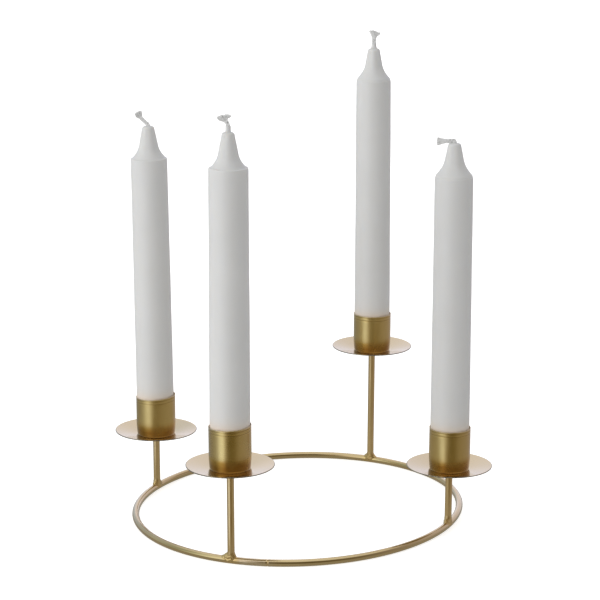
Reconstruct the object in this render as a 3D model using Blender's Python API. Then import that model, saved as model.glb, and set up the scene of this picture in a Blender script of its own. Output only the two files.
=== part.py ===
"""Advent ring: one ring of round brass wire that lies on the table, with four wire posts
welded upright on it. Each post carries a shallow drip pan, a cup and a tall white candle.

Every size below is a real size in millimetres. MM turns it into Blender's metres.
X and Y run through the posts and Z points up from the table.
"""

import math
from typing import NamedTuple

import bmesh
import bpy
from mathutils import Matrix, Vector

MM = 0.001

# The ring: round wire bent by hand, a little longer from front to back than across
RING_DIAMETER = 200.3
RING_OVALITY = 0.0396
RING_LONG_AXIS = 83.0
WIRE_RADIUS = 2.15
RING_STEPS = 72
WIRE_SIDES = 12

# The posts: the same wire, with a weld along the ring at the foot and a peened head on top
WELD_LEG_ALONG = 2.6
WELD_LEG_ACROSS = 0.15
WELD_HEIGHT = 2.6
TENON_RADIUS = 1.2
HEAD_RADIUS = 2.6
HEAD_HEIGHT = 0.9
HEAD_CROWN_RADIUS = 1.6
HEAD_CROWN_HEIGHT = 0.45
POST_SIDES = 16
WELD_ROWS = 4

# The drip pans: thin sheet, flat under the cup and then rising gently to the rim
PAN_RADIUS = 25.3
PAN_THICKNESS = 0.6
PAN_FLAT_RADIUS = 11.6
PAN_DISH = 2.7
PAN_STEPS = 36

# The cups: drawn sheet with a rounded bottom corner
CUP_RADIUS = 12.0
CUP_HEIGHT = 24.5
CUP_WALL = 0.5
CUP_CORNER_RADIUS = 2.2
CUP_CORNER_STEPS = 3
CUP_STEPS = 32

# The candles: standard 22 mm crown candles with a hollow-sided cone and a small domed tip
CANDLE_RADIUS = 11.1
CANDLE_FOOT_CHAMFER = 0.6
CONE_HEIGHT = 19.7
CONE_ROWS = (0.5, 2.0, 4.0, 6.5, 9.5, 14.0)
CONE_TAPER_START = 7.17
CONE_TAPER = 0.195
CONE_FLARE_START = 1.9
CONE_FLARE_FALL = 0.2
DOME_HEIGHT = 1.5
DOME_STEPS = 3
CANDLE_STEPS = 24

# The wicks: cotton braid through the whole candle, bent over above the tip
WICK_RADIUS = 1.15
WICK_END_RADIUS = 1.6
WICK_FOOT = 0.6
WICK_SIDES = 8
WICK_BEND_STEPS = 5

# The clearance left between two pieces that touch
GAP = 0.3
HOLE_CLEARANCE = 0.35

# The side towards which posts and candles lean, as a bearing from +X towards +Y
LEAN_BEARING = 23.5

# Edges that turn by more than this many degrees stay sharp on the round pieces
SHARP_ANGLE = 35.0


class Wick(NamedTuple):
    """How one wick leaves the tip of its candle: straight up, round a bend, then straight."""

    rise: float
    bend_radius: float
    bend: float
    tail: float


class Arm(NamedTuple):
    """One candle place on the ring."""

    name: str
    bearing: float
    pan_height: float
    post_lean: float
    candle_lean: float
    candle_length: float
    wick: Wick


ARMS = (
    Arm("right", 1.0, 39.1, 0.6, 0.3, 192.6, Wick(0.3, 1.2, -95.0, 8.4)),
    Arm("back", 86.8, 78.1, 0.6, 0.2, 191.2, Wick(6.0, 4.0, 4.0, 4.8)),
    Arm("left", 180.2, 39.3, 0.2, -0.4, 190.8, Wick(0.2, 4.0, -45.0, 6.6)),
    Arm("front", 271.9, 58.9, 0.1, 0.3, 189.6, Wick(3.2, 5.0, -30.0, 3.2)),
)

# Heights above a pan's flat underside, built up from the post's shoulder
CUP_BASE = PAN_THICKNESS + GAP
HEAD_BASE = CUP_BASE + CUP_WALL + GAP
HEAD_TOP = HEAD_BASE + HEAD_HEIGHT
CANDLE_BASE = HEAD_TOP + GAP
RING_LEVEL = WIRE_RADIUS * math.cos(math.pi / WIRE_SIDES)


def clear_scene():
    """Remove the objects that the file opened with."""
    for item in list(bpy.data.objects):
        bpy.data.objects.remove(item, do_unlink=True)


def make_material(name, colour, roughness, metallic):
    """Return a plain Principled material."""
    material = bpy.data.materials.new(name)
    material.use_nodes = True
    shader = material.node_tree.nodes["Principled BSDF"]
    shader.inputs["Base Color"].default_value = (*colour, 1.0)
    shader.inputs["Roughness"].default_value = roughness
    shader.inputs["Metallic"].default_value = metallic
    return material


def make_object(name, bm, material, parent, level=0.0):
    """Turn a mesh in millimetres into a smooth object that stands at a level on its parent."""
    bmesh.ops.remove_doubles(bm, verts=bm.verts, dist=0.001)
    bmesh.ops.recalc_face_normals(bm, faces=bm.faces)
    bmesh.ops.scale(bm, vec=Vector((MM, MM, MM)), verts=bm.verts)
    mesh = bpy.data.meshes.new(name)
    bm.to_mesh(mesh)
    bm.free()
    mesh.materials.append(material)
    mesh.shade_smooth()
    mesh.set_sharp_from_angle(angle=math.radians(SHARP_ANGLE))
    item = bpy.data.objects.new(name, mesh)
    bpy.context.scene.collection.objects.link(item)
    item.parent = parent
    item.location.z = level * MM
    return item


def make_empty(name, parent, location, lean):
    """Return an empty whose Z axis leans by so many degrees towards the lean bearing."""
    item = bpy.data.objects.new(name, None)
    bpy.context.scene.collection.objects.link(item)
    item.parent = parent
    item.location = Vector(location) * MM
    item.rotation_euler = (0.0, math.radians(lean), math.radians(LEAN_BEARING))
    return item


def turned(outline, steps):
    """Spin a closed outline of (radius, height) points once round Z."""
    bm = bmesh.new()
    corners = [bm.verts.new((radius, 0.0, height)) for radius, height in outline]
    for start, end in zip(corners, corners[1:] + corners[:1]):
        bm.edges.new((start, end))
    bmesh.ops.spin(bm, geom=bm.verts[:] + bm.edges[:], axis=(0, 0, 1), cent=(0, 0, 0),
                   angle=2.0 * math.pi, steps=steps, use_merge=True)
    return bm


def arc(centre, radius, start, end, steps):
    """Points on a quarter or other part of a circle, from one angle in degrees to another."""
    points = []
    for step in range(steps + 1):
        angle = math.radians(start + (end - start) * step / steps)
        points.append((centre[0] + radius * math.cos(angle), centre[1] + radius * math.sin(angle)))
    return points


def join_rows(bm, rows):
    """Lay faces between rows of points, each row going once round the piece."""
    loops = [[bm.verts.new(point) for point in row] for row in rows]
    for lower, upper in zip(loops, loops[1:]):
        for side in range(len(lower)):
            after = (side + 1) % len(lower)
            bm.faces.new((lower[side], lower[after], upper[after], upper[side]))
    return loops


def ring_radius(bearing):
    """The radius of the ring's centre line at a bearing in degrees."""
    swing = math.cos(2.0 * math.radians(bearing - RING_LONG_AXIS))
    return 0.5 * RING_DIAMETER * (1.0 + RING_OVALITY * swing)


def ring_point(bearing):
    """The point on the ring's centre line at a bearing in degrees."""
    radius = ring_radius(bearing)
    return Vector((radius * math.cos(math.radians(bearing)),
                   radius * math.sin(math.radians(bearing)), RING_LEVEL))


def ring_direction(bearing):
    """The bearing in radians along which the wire runs at a place on the ring."""
    ahead = ring_point(bearing + 0.5) - ring_point(bearing - 0.5)
    return math.atan2(ahead.y, ahead.x)


def build_ring(material, parent):
    """Spin the wire's section into a round ring, then press it a little oval."""
    half_side = math.pi / WIRE_SIDES
    mean = 0.5 * RING_DIAMETER
    section = []
    for side in range(WIRE_SIDES):
        angle = 2.0 * math.pi * side / WIRE_SIDES + half_side
        section.append((mean + WIRE_RADIUS * math.cos(angle),
                        RING_LEVEL + WIRE_RADIUS * math.sin(angle)))
    bm = turned(section, RING_STEPS)
    for vertex in bm.verts:
        bearing = math.atan2(vertex.co.y, vertex.co.x)
        radius = math.hypot(vertex.co.x, vertex.co.y) - mean + ring_radius(math.degrees(bearing))
        vertex.co.x = radius * math.cos(bearing)
        vertex.co.y = radius * math.sin(bearing)
    return make_object("ring", bm, material, parent)


def weld_rows(along):
    """Rows of the weld at a post's foot, from the saddle on the wire up to the bare post."""
    reach = WIRE_RADIUS + GAP
    rows = []
    for row in range(WELD_ROWS + 1):
        share = row / WELD_ROWS
        spread = (1.0 - share) ** 2
        half_along = WIRE_RADIUS + WELD_LEG_ALONG * spread
        half_across = WIRE_RADIUS + WELD_LEG_ACROSS * spread
        points = []
        for side in range(POST_SIDES):
            angle = 2.0 * math.pi * (side + 0.5) / POST_SIDES
            run, offset = half_along * math.cos(angle), half_across * math.sin(angle)
            saddle = math.sqrt(reach ** 2 - offset ** 2)
            height = (1.0 - share) * saddle + share * (reach + WELD_HEIGHT)
            points.append((run * math.cos(along) - offset * math.sin(along),
                           run * math.sin(along) + offset * math.cos(along), height))
        rows.append(points)
    return rows


def round_row(radius, height, along):
    """One level row of a post."""
    points = []
    for side in range(POST_SIDES):
        angle = 2.0 * math.pi * (side + 0.5) / POST_SIDES + along
        points.append((radius * math.cos(angle), radius * math.sin(angle), height))
    return points


def build_post(arm, material, parent):
    """A wire post: weld, shaft, the shoulder under the pan, the tenon and its peened head."""
    along = ring_direction(arm.bearing) - math.radians(LEAN_BEARING)
    seat = pan_seat(arm)
    rows = weld_rows(along)
    rows.append(round_row(WIRE_RADIUS, seat - GAP, along))
    rows.append(round_row(TENON_RADIUS, seat - GAP, along))
    rows.append(round_row(TENON_RADIUS, seat + HEAD_BASE, along))
    rows.append(round_row(HEAD_RADIUS, seat + HEAD_BASE, along))
    rows.append(round_row(HEAD_RADIUS, seat + HEAD_TOP - HEAD_CROWN_HEIGHT, along))
    rows.append(round_row(HEAD_CROWN_RADIUS, seat + HEAD_TOP, along))
    bm = bmesh.new()
    loops = join_rows(bm, rows)
    bm.faces.new(loops[-1])
    foot, quarter = loops[0], POST_SIDES // 4
    for step in range(2 * quarter - 1):
        near, far = quarter - 1 - step, quarter + step
        bm.faces.new((foot[near], foot[far], foot[far + 1], foot[near - 1]))
    return make_object("post_" + arm.name, bm, material, parent)


def pan_seat(arm):
    """The height of a pan's flat underside above the wire's centre, along the post."""
    return arm.pan_height - PAN_DISH - RING_LEVEL


def build_pan(arm, material, parent):
    """A dished pan with a hole for the tenon."""
    hole = TENON_RADIUS + HOLE_CLEARANCE
    outline = [
        (hole, 0.0), (PAN_FLAT_RADIUS, 0.0), (PAN_RADIUS, PAN_DISH),
        (PAN_RADIUS, PAN_DISH + PAN_THICKNESS), (PAN_FLAT_RADIUS, PAN_THICKNESS),
        (hole, PAN_THICKNESS),
    ]
    bm = turned(outline, PAN_STEPS)
    return make_object("drip_pan_" + arm.name, bm, material, parent, pan_seat(arm))


def build_cup(arm, material, parent):
    """A straight-sided cup, open at the top, with a hole for the tenon in its floor."""
    hole = TENON_RADIUS + HOLE_CLEARANCE
    centre = (CUP_RADIUS - CUP_CORNER_RADIUS, CUP_CORNER_RADIUS)
    outer = arc(centre, CUP_CORNER_RADIUS, -90.0, 0.0, CUP_CORNER_STEPS)
    inner = arc(centre, CUP_CORNER_RADIUS - CUP_WALL, 0.0, -90.0, CUP_CORNER_STEPS)
    outline = [(hole, 0.0)] + outer + [(CUP_RADIUS, CUP_HEIGHT), (CUP_RADIUS - CUP_WALL, CUP_HEIGHT)]
    outline += inner + [(hole, CUP_WALL)]
    bm = turned(outline, CUP_STEPS)
    return make_object("cup_" + arm.name, bm, material, parent, pan_seat(arm) + CUP_BASE)


def cone_radius(height):
    """The radius of a candle's cone at a height above the shoulder: a taper with a flared foot."""
    flare = max(0.0, CONE_FLARE_START - CONE_FLARE_FALL * height)
    return CONE_TAPER_START - CONE_TAPER * height + flare ** 2


def build_candle(arm, material, parent):
    """The wax, with the narrow bore that the wick fills."""
    bore = WICK_RADIUS + GAP
    shoulder = arm.candle_length - CONE_HEIGHT
    outline = [(bore, 0.0), (CANDLE_RADIUS - CANDLE_FOOT_CHAMFER, 0.0),
               (CANDLE_RADIUS, CANDLE_FOOT_CHAMFER), (CANDLE_RADIUS, shoulder)]
    for height in CONE_ROWS:
        outline.append((cone_radius(height), shoulder + height))
    dome_start = CONE_HEIGHT - DOME_HEIGHT
    reach = cone_radius(dome_start) - bore
    for step in range(DOME_STEPS + 1):
        angle = 0.5 * math.pi * step / DOME_STEPS
        outline.append((bore + reach * math.cos(angle),
                        shoulder + dome_start + DOME_HEIGHT * math.sin(angle)))
    return make_object("candle_" + arm.name, turned(outline, CANDLE_STEPS), material, parent)


def wick_path(arm):
    """Points and headings down the middle of a wick, in the plane of its bend."""
    wick = arm.wick
    bend = math.radians(wick.bend)
    side = math.copysign(1.0, bend)
    start = arm.candle_length + wick.rise
    points = [(0.0, WICK_FOOT, 0.0)]
    for step in range(WICK_BEND_STEPS + 1):
        turn = abs(bend) * step / WICK_BEND_STEPS
        points.append((side * wick.bend_radius * (1.0 - math.cos(turn)),
                       start + wick.bend_radius * math.sin(turn), side * turn))
    x, z, turn = points[-1]
    points.append((x + wick.tail * math.sin(turn), z + wick.tail * math.cos(turn), turn))
    return points


def build_wick(arm, material, parent):
    """A round tube along the wick's path, a little wider where the end has frayed."""
    path = wick_path(arm)
    rows = []
    for index, (x, z, turn) in enumerate(path):
        radius = WICK_END_RADIUS if index == len(path) - 1 else WICK_RADIUS
        points = []
        for side in range(WICK_SIDES):
            angle = 2.0 * math.pi * (side + 0.5) / WICK_SIDES
            reach = radius * math.cos(angle)
            points.append((x + reach * math.cos(turn), radius * math.sin(angle),
                           z - reach * math.sin(turn)))
        rows.append(points)
    bm = bmesh.new()
    loops = join_rows(bm, rows)
    bm.faces.new(loops[0])
    bm.faces.new(loops[-1])
    return make_object("wick_" + arm.name, bm, material, parent)


def build_arm(arm, materials, root):
    """One candle place: post, pan and cup on one leaning frame, candle and wick on another."""
    foot = ring_point(arm.bearing)
    stand = make_empty("stand_" + arm.name, root, foot, arm.post_lean)
    lean = Matrix.Rotation(math.radians(LEAN_BEARING), 3, "Z") @ Matrix.Rotation(
        math.radians(arm.post_lean), 3, "Y")
    base = foot + lean @ Vector((0.0, 0.0, pan_seat(arm) + CANDLE_BASE))
    holder = make_empty("holder_" + arm.name, root, base, arm.candle_lean)
    return [
        build_post(arm, materials["wire"], stand),
        build_pan(arm, materials["pan"], stand),
        build_cup(arm, materials["cup"], stand),
        build_candle(arm, materials["wax"], holder),
        build_wick(arm, materials["cotton"], holder),
    ]


def centre_footprint(root, items):
    """Move the root so that the middle of the whole footprint is at the origin."""
    bpy.context.view_layer.update()
    corners = [item.matrix_world @ vertex.co for item in items for vertex in item.data.vertices]
    root.location.x = -0.5 * (min(c.x for c in corners) + max(c.x for c in corners))
    root.location.y = -0.5 * (min(c.y for c in corners) + max(c.y for c in corners))
    bpy.context.view_layer.update()


def main():
    """Build the ring and its four candle places."""
    clear_scene()
    materials = {
        "wire": make_material("brass_wire", (0.36, 0.25, 0.11), 0.38, 1.0),
        "pan": make_material("brass_pan", (0.66, 0.54, 0.42), 0.22, 1.0),
        "cup": make_material("brass_cup", (0.42, 0.29, 0.12), 0.33, 1.0),
        "wax": make_material("white_wax", (0.64, 0.64, 0.63), 0.5, 0.0),
        "cotton": make_material("white_cotton", (0.72, 0.70, 0.64), 0.9, 0.0),
    }
    root = bpy.data.objects.new("footprint", None)
    bpy.context.scene.collection.objects.link(root)
    items = [build_ring(materials["wire"], root)]
    for arm in ARMS:
        items += build_arm(arm, materials, root)
    centre_footprint(root, items)


main()
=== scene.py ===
"""Looks of an advent ring: a brass wire ring with four posts, drip pans, cups and crown candles.

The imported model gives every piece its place. This script turns each plain solid into the finished
piece: drawn wire with its welds, spun pans and cups, wax candles and braided wicks.
Lengths are in millimetres until a mesh is made, and MM turns them into metres.
"""

import logging
import math
from dataclasses import dataclass, replace
from enum import Enum
from functools import partialmethod
from typing import Callable, ClassVar

import bpy
import numpy as np
from bpy.types import Material, Mesh, NodeSocket, NodeTree, Object
from mathutils import Matrix, Vector


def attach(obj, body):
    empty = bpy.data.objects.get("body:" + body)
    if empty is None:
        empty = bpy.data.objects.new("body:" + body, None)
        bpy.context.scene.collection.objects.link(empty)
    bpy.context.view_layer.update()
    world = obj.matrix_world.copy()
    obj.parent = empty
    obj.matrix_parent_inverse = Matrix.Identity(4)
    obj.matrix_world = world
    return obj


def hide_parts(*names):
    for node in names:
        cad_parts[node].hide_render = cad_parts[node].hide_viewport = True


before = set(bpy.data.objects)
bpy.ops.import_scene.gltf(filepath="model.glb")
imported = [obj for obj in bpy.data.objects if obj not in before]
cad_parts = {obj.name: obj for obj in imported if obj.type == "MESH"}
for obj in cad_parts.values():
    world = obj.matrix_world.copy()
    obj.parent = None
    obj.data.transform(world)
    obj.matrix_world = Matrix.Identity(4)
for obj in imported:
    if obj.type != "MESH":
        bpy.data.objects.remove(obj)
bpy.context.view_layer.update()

MM = 0.001
FULL_TURN = 2.0 * math.pi
PHOTO_WIDTH = 600  # pixels
SIDE_BEARING = 23.5  # the bearing of the photograph's right, in degrees from +X
log = logging.getLogger("advent_ring")

Pair = tuple[float, float]
Triple = tuple[float, float, float]
Colour = Triple
Outline = list[tuple[float, ...]]
Warp = Callable[[np.ndarray], np.ndarray]


class Place(Enum):
    """The four candle places, named as the posts are."""

    RIGHT = "right"
    BACK = "back"
    LEFT = "left"
    FRONT = "front"


class Slot(Enum):
    """The material slots of the record."""

    WIRE = "wire"
    PAN = "pan"
    CUP = "cup"
    WAX = "wax"
    COTTON = "cotton"


class Value:
    """An output of a node, which can be reckoned with like a number or a vector."""

    def __init__(self, graph: "Graph", socket: NodeSocket) -> None:
        """Keep the graph and the socket."""
        self.graph, self.socket = graph, socket

    def __getitem__(self, name: str) -> "Value":
        """Return another output of the same node."""
        return Value(self.graph, self.socket.node.outputs[name])

    def reckon(self, operation: str, other: object, swap: bool = False) -> "Value":
        """Join this value and another with one Math or Vector Math node.

        Args:
            operation: Blender's name of what the node does.
            other: the other value, or a plain number or vector.
            swap: whether the other comes first.

        Returns:
            The result. A vector times a number is the vector scaled.
        """
        pair = (other, self) if swap else (self, other)
        first, second = (isinstance(value, tuple) or isinstance(value, Value)
                         and value.socket.type == "VECTOR" for value in pair)
        if not first:
            return self.graph.math(operation, *pair)
        return self.graph.vector(operation if second else "SCALE", *pair)

    __add__ = partialmethod(reckon, "ADD")
    __sub__ = partialmethod(reckon, "SUBTRACT")
    __rsub__ = partialmethod(reckon, "SUBTRACT", swap=True)
    __mul__ = partialmethod(reckon, "MULTIPLY")
    __truediv__ = partialmethod(reckon, "DIVIDE")
    __pow__ = partialmethod(reckon, "POWER")

    def xyz(self) -> tuple["Value", "Value", "Value"]:
        """Return the three parts of a vector."""
        parts = self.graph.add("ShaderNodeSeparateXYZ", (self,))
        return parts["X"], parts["Y"], parts["Z"]


class Graph:
    """Adds nodes to one node tree and wires them up."""

    def __init__(self, tree: NodeTree) -> None:
        """Keep the tree."""
        self.tree = tree

    def feed(self, socket: NodeSocket, value: object) -> None:
        """Link a value into an input, or set the input's own value.

        Args:
            socket: the input to fill.
            value: a value of this tree, or a plain one.
        """
        if isinstance(value, Value):
            self.tree.links.new(value.socket, socket)
        else:
            socket.default_value = value

    def add(self, kind: str, inputs: object = (), **settings: object) -> Value:
        """Add one node.

        Args:
            kind: Blender's name of the node type.
            inputs: what goes into its inputs, by name or in order.
            settings: properties of the node, such as its operation.

        Returns:
            The node's first output.
        """
        node = self.tree.nodes.new(kind)
        for name, setting in settings.items():
            setattr(node, name, setting)
        if isinstance(inputs, dict):
            pairs = [(node.inputs[name], value) for name, value in inputs.items()]
        else:
            pairs = zip([socket for socket in node.inputs if socket.enabled], inputs)
        for socket, value in pairs:
            self.feed(socket, value)
        return Value(self, next(socket for socket in node.outputs if socket.enabled))

    def math(self, operation: str, *values: object) -> Value:
        """Return the result of one Math node."""
        return self.add("ShaderNodeMath", values, operation=operation)

    def vector(self, operation: str, *values: object) -> Value:
        """Return the result of one Vector Math node."""
        return self.add("ShaderNodeVectorMath", values, operation=operation)

    def remap(self, value: Value, low: object, high: object,
              to_low: float = 0.0, to_high: float = 1.0) -> Value:
        """Return a value taken from one range to another, kept inside it."""
        return self.add("ShaderNodeMapRange", (value, low, high, to_low, to_high))

    def mix(self, share: Value, *colours: object) -> Value:
        """Return a mix of two colours."""
        full = [(*colour, 1.0) if isinstance(colour, tuple) else colour for colour in colours]
        return self.add("ShaderNodeMix", (share, *full), data_type="RGBA")


class Group(Graph):
    """A node group with named inputs and one output."""

    def __init__(self, kind: str, name: str, **inputs: tuple[str, ...]) -> None:
        """Start the group.

        Args:
            kind: Shader or Geometry.
            name: the group's name.
            inputs: the names of its inputs, by their kind.
        """
        super().__init__(bpy.data.node_groups.new(name, kind + "NodeTree"))
        for sort, labels in inputs.items():
            for label in labels:
                self._socket(label, "INPUT", sort)
        self.put = self.add("NodeGroupInput")

    def _socket(self, label: str, way: str, sort: str) -> None:
        """Add one named input or output."""
        self.tree.interface.new_socket(label, in_out=way, socket_type="NodeSocket" + sort)

    def close(self, label: str, sort: str, value: Value) -> NodeTree:
        """Give the group its output.

        Args:
            label: the output's name.
            sort: its kind.
            value: what it puts out.

        Returns:
            The finished tree.
        """
        self._socket(label, "OUTPUT", sort)
        self.feed(self.tree.nodes.new("NodeGroupOutput").inputs[0], value)
        return self.tree


class Shaping(Group):
    """A geometry tree that runs on an object and leaves a plain mesh."""

    def __init__(self, name: str, **inputs: tuple[str, ...]) -> None:
        """Start the tree with a geometry, a material and its own named inputs."""
        super().__init__("Geometry", name, Geometry=("Geometry",), Material=("Material",), **inputs)

    def moved(self, geometry: Value, offset: Value) -> Value:
        """Return the geometry with its points moved by an offset."""
        return self.add("GeometryNodeSetPosition", {"Geometry": geometry, "Offset": offset})

    def stored(self, geometry: Value, name: str, kind: str, value: Value) -> Value:
        """Return the geometry with a named attribute on its points."""
        return self.add("GeometryNodeStoreNamedAttribute", {
            "Geometry": geometry, "Name": name, "Value": value}, data_type=kind, domain="POINT")

    def circle(self, steps: object, radius: Value) -> Value:
        """Return a round curve."""
        return self.add("GeometryNodeCurvePrimitiveCircle", {
            "Resolution": steps, "Radius": radius})

    def swept(self, path: Value, section: Value) -> Value:
        """Return a section swept along a path, with closed ends."""
        return self.add("GeometryNodeCurveToMesh", {
            "Curve": path, "Profile Curve": section, "Fill Caps": True})

    def finish(self, geometry: Value) -> "Shaping":
        """End the tree: realise, shade smooth and give the material of the named input.

        Args:
            geometry: the last geometry.

        Returns:
            The finished tree's graph.
        """
        solid = self.add("GeometryNodeRealizeInstances", (geometry,))
        smooth = self.add("GeometryNodeSetShadeSmooth", (solid,))
        self.close("Geometry", "Geometry", self.add("GeometryNodeSetMaterial", {
            "Geometry": smooth, "Material": self.put["Material"]}))
        return self

    def run(self, start: Object, material: Material, lengths: dict[str, float],
            **others: object) -> Mesh:
        """Run the tree on an object.

        Args:
            start: the object whose data goes in. It is removed.
            material: the material of the result.
            lengths: the inputs that are lengths, in millimetres.
            others: the other inputs, with _ for a blank.

        Returns:
            A new plain mesh with no modifier left behind it.
        """
        values = {"Material": material}
        values |= {name: length * MM for name, length in lengths.items()}
        values |= {name.replace("_", " "): value for name, value in others.items()}
        modifier = start.modifiers.new(self.tree.name, "NODES")
        modifier.node_group = self.tree
        for item in self.tree.interface.items_tree:
            if item.in_out == "INPUT" and item.name in values:
                modifier[item.identifier] = values[item.name]
        start.update_tag()
        bpy.context.view_layer.update()
        graph = bpy.context.evaluated_depsgraph_get()
        mesh = bpy.data.meshes.new_from_object(start.evaluated_get(graph), depsgraph=graph)
        bpy.data.objects.remove(start, do_unlink=True)
        return mesh


def place_object(name: str, data: bpy.types.ID) -> Object:
    """Put new data into the scene as an object at the origin."""
    item = bpy.data.objects.new(name, data)
    bpy.context.scene.collection.objects.link(item)
    return item


def hand_over(piece: Object, node: str) -> None:
    """Tell the frame what a finished piece stands for, and report it.

    Args:
        piece: the finished object.
        node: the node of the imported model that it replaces.
    """
    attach(piece, "root")
    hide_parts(node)
    log.info("%s: %d faces", piece.name, len(piece.data.polygons))


def mesh_points(mesh: Mesh) -> np.ndarray:
    """Return the points of a mesh, in millimetres."""
    return np.array([vertex.co for vertex in mesh.vertices]) / MM


def mark(mesh: Mesh, name: str, values: object) -> None:
    """Give each point of a mesh a number that the material reads."""
    mesh.attributes.new(name, "FLOAT", "POINT").data.foreach_set("value", values)


def shares(count: int) -> list[float]:
    """Return the even steps from just above 0 up to 1."""
    return [step / count for step in range(1, count + 1)]


@dataclass(frozen=True)
class Spindle:
    """The axis of a turned piece, and how far the piece reaches along it and out from it."""

    foot: Vector  # the point on the axis at the piece's lower end
    along: Vector  # the axis' direction, upwards
    length: float
    radius: float

    @classmethod
    def of_node(cls, node: str) -> "Spindle":
        """Measure a turned node: its middle and main axis come from its volume.

        Args:
            node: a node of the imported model.

        Returns:
            The node's spindle.
        """
        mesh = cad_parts[node].data
        mesh.calc_loop_triangles()
        points = mesh_points(mesh)
        start = points.mean(axis=0)
        corners = points[np.array([tri.vertices[:] for tri in mesh.loop_triangles])] - start
        a, b, c = corners[:, 0], corners[:, 1], corners[:, 2]
        volume = np.einsum("ij,ij->i", a, np.cross(b, c)) / 6.0
        total = a + b + c
        middle = (volume[:, None] * total).sum(axis=0) / 4.0 / volume.sum()
        spread = sum(np.einsum("i,ij,ik->jk", volume, v, v) for v in (total, a, b, c)) / 20.0
        spread = spread / volume.sum() - np.outer(middle, middle)
        values, vectors = np.linalg.eigh(spread)
        odd = 2 if values[2] - values[1] > values[1] - values[0] else 0
        along = vectors[:, odd] * np.sign(vectors[2, odd])
        offsets = points - start - middle
        heights = offsets @ along
        radii = np.linalg.norm(offsets - np.outer(heights, along), axis=1)
        foot = start + middle + along * heights.min()
        return cls(Vector(foot), Vector(along), float(np.ptp(heights)), float(radii.max()))

    def matrix(self) -> Matrix:
        """Return the turn and shift that stand a piece built round Z on this axis."""
        bearing = math.radians(SIDE_BEARING)
        side = Vector((math.cos(bearing), math.sin(bearing), 0.0))
        x = (side - side.dot(self.along) * self.along).normalized()
        turn = Matrix((x, self.along.cross(x), self.along)).transposed().to_4x4()
        return Matrix.Translation(self.foot) @ turn


@dataclass
class Skin:
    """A closed skin of rows of points, each going once round the piece, with a pole at each end."""

    rows: list[np.ndarray]  # from one pole to the other
    edges: list[float]  # how much of the edge colour each row takes, from 0 to 1: scuffing, painted highlight, painted shade and painted bounce light

    @classmethod
    def turned(cls, outline: Outline, steps: int) -> "Skin":
        """Turn an outline round Z.

        Args:
            outline: (radius, height) or (radius, height, edge mark) from the bottom pole to the
                other.
            steps: how many points go round.

        Returns:
            The skin.
        """
        angles = np.linspace(0.0, FULL_TURN, steps, endpoint=False)
        circle = np.stack([np.cos(angles), np.sin(angles), np.zeros(steps)], axis=1)
        rows = [circle * point[0] + np.array([0.0, 0.0, point[1]]) for point in outline]
        return cls(rows, [point[2] if len(point) > 2 else 0.0 for point in outline])

    def to_object(self, name: str, place: Matrix, material: Material,
                  warp: Warp | None = None) -> Object:
        """Write the skin as a smooth object whose place is in its mesh.

        Args:
            name: the object's name.
            place: where the piece stands, in millimetres.
            material: the piece's material.
            warp: a change made to the points before they are placed.

        Returns:
            The new object.
        """
        count = len(self.rows[0])
        poles = [self.rows[0].mean(axis=0), self.rows[-1].mean(axis=0)]
        local = np.concatenate([*self.rows, poles])
        shaped = warp(local) if warp else local
        world = shaped @ np.array(place.to_3x3()).T + np.array(place.translation)
        last, bottom, top = (len(self.rows) - 1) * count, len(local) - 2, len(local) - 1
        round_trip = [(step, (step + 1) % count) for step in range(count)]
        faces = [(low + step, low + after, low + count + after, low + count + step)
                 for low in range(0, last, count) for step, after in round_trip]
        for step, after in round_trip:
            faces += [(bottom, after, step), (top, last + step, last + after)]
        mesh = bpy.data.meshes.new(name)
        mesh.from_pydata((world * MM).tolist(), [], faces)
        mesh.shade_smooth()
        mesh.materials.append(material)
        turn = mesh.attributes.new("turn", "FLOAT_VECTOR", "POINT")
        turn.data.foreach_set("vector", local.ravel())
        mark(mesh, "edge", [*np.repeat(self.edges, count), self.edges[0], self.edges[-1]])
        return place_object(name, mesh)


def round_corner(centre: Pair, radius: float, start: float, end: float,
                 steps: int, scuff_and_painted_light: float = 0.0) -> Outline:
    """Return the points of a round stretch of an outline.

    Args:
        centre: the (radius, height) of its middle.
        radius: its own radius.
        start: the angle in degrees at which it starts.
        end: the angle at which it ends.
        steps: how many stretches it has.
        scuff_and_painted_light: how much of the edge colour it takes: scuffing, painted highlight
            and painted shade.

    Returns:
        The points, with their edge marks.
    """
    angles = [math.radians(start + (end - start) * share) for share in (0.0, *shares(steps))]
    return [(centre[0] + radius * math.cos(angle), centre[1] + radius * math.sin(angle), scuff_and_painted_light)
            for angle in angles]


def stretch(start: Pair, end: Pair, steps: int) -> Outline:
    """Return evenly spaced points of a straight stretch, without its two ends."""
    return [(start[0] + (end[0] - start[0]) * share, start[1] + (end[1] - start[1]) * share, 0.0)
            for share in shares(steps)[:-1]]


def fade(depth: np.ndarray, start: float, span: float) -> np.ndarray:
    """Return 0 up to a depth and 1 from a span beyond it, with an even slope between."""
    return np.clip((depth - start) / span, 0.0, 1.0)


class Grain(Enum):
    """How the tool lines run, as scales per millimetre out, up and once round."""

    SPUN_WALL = (0.0, 6.0, 2.0)
    SPUN_SHEET = (5.0, 0.0, 2.5)
    DRAWN_RING = (4.0, 4.0, 9.0)
    DRAWN_POST = (0.0, 0.12, 8.0)
    DIPPED_WAX = (0.0, 0.05, 7.0)


class Clouds(Enum):
    """How slow changes over a surface look, as their scale per metre and their contrast."""

    METAL_TONE = (38.0, 2.2)
    METAL_SMUDGE = (120.0, 2.8)
    WAX_TONE = (45.0, 1.8)
    WAX_SPECKS = (900.0, 1.5)
    COTTON_FIBRES = (2600.0, 2.5)
    COTTON_TUFTS = (520.0, 2.0)


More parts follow.
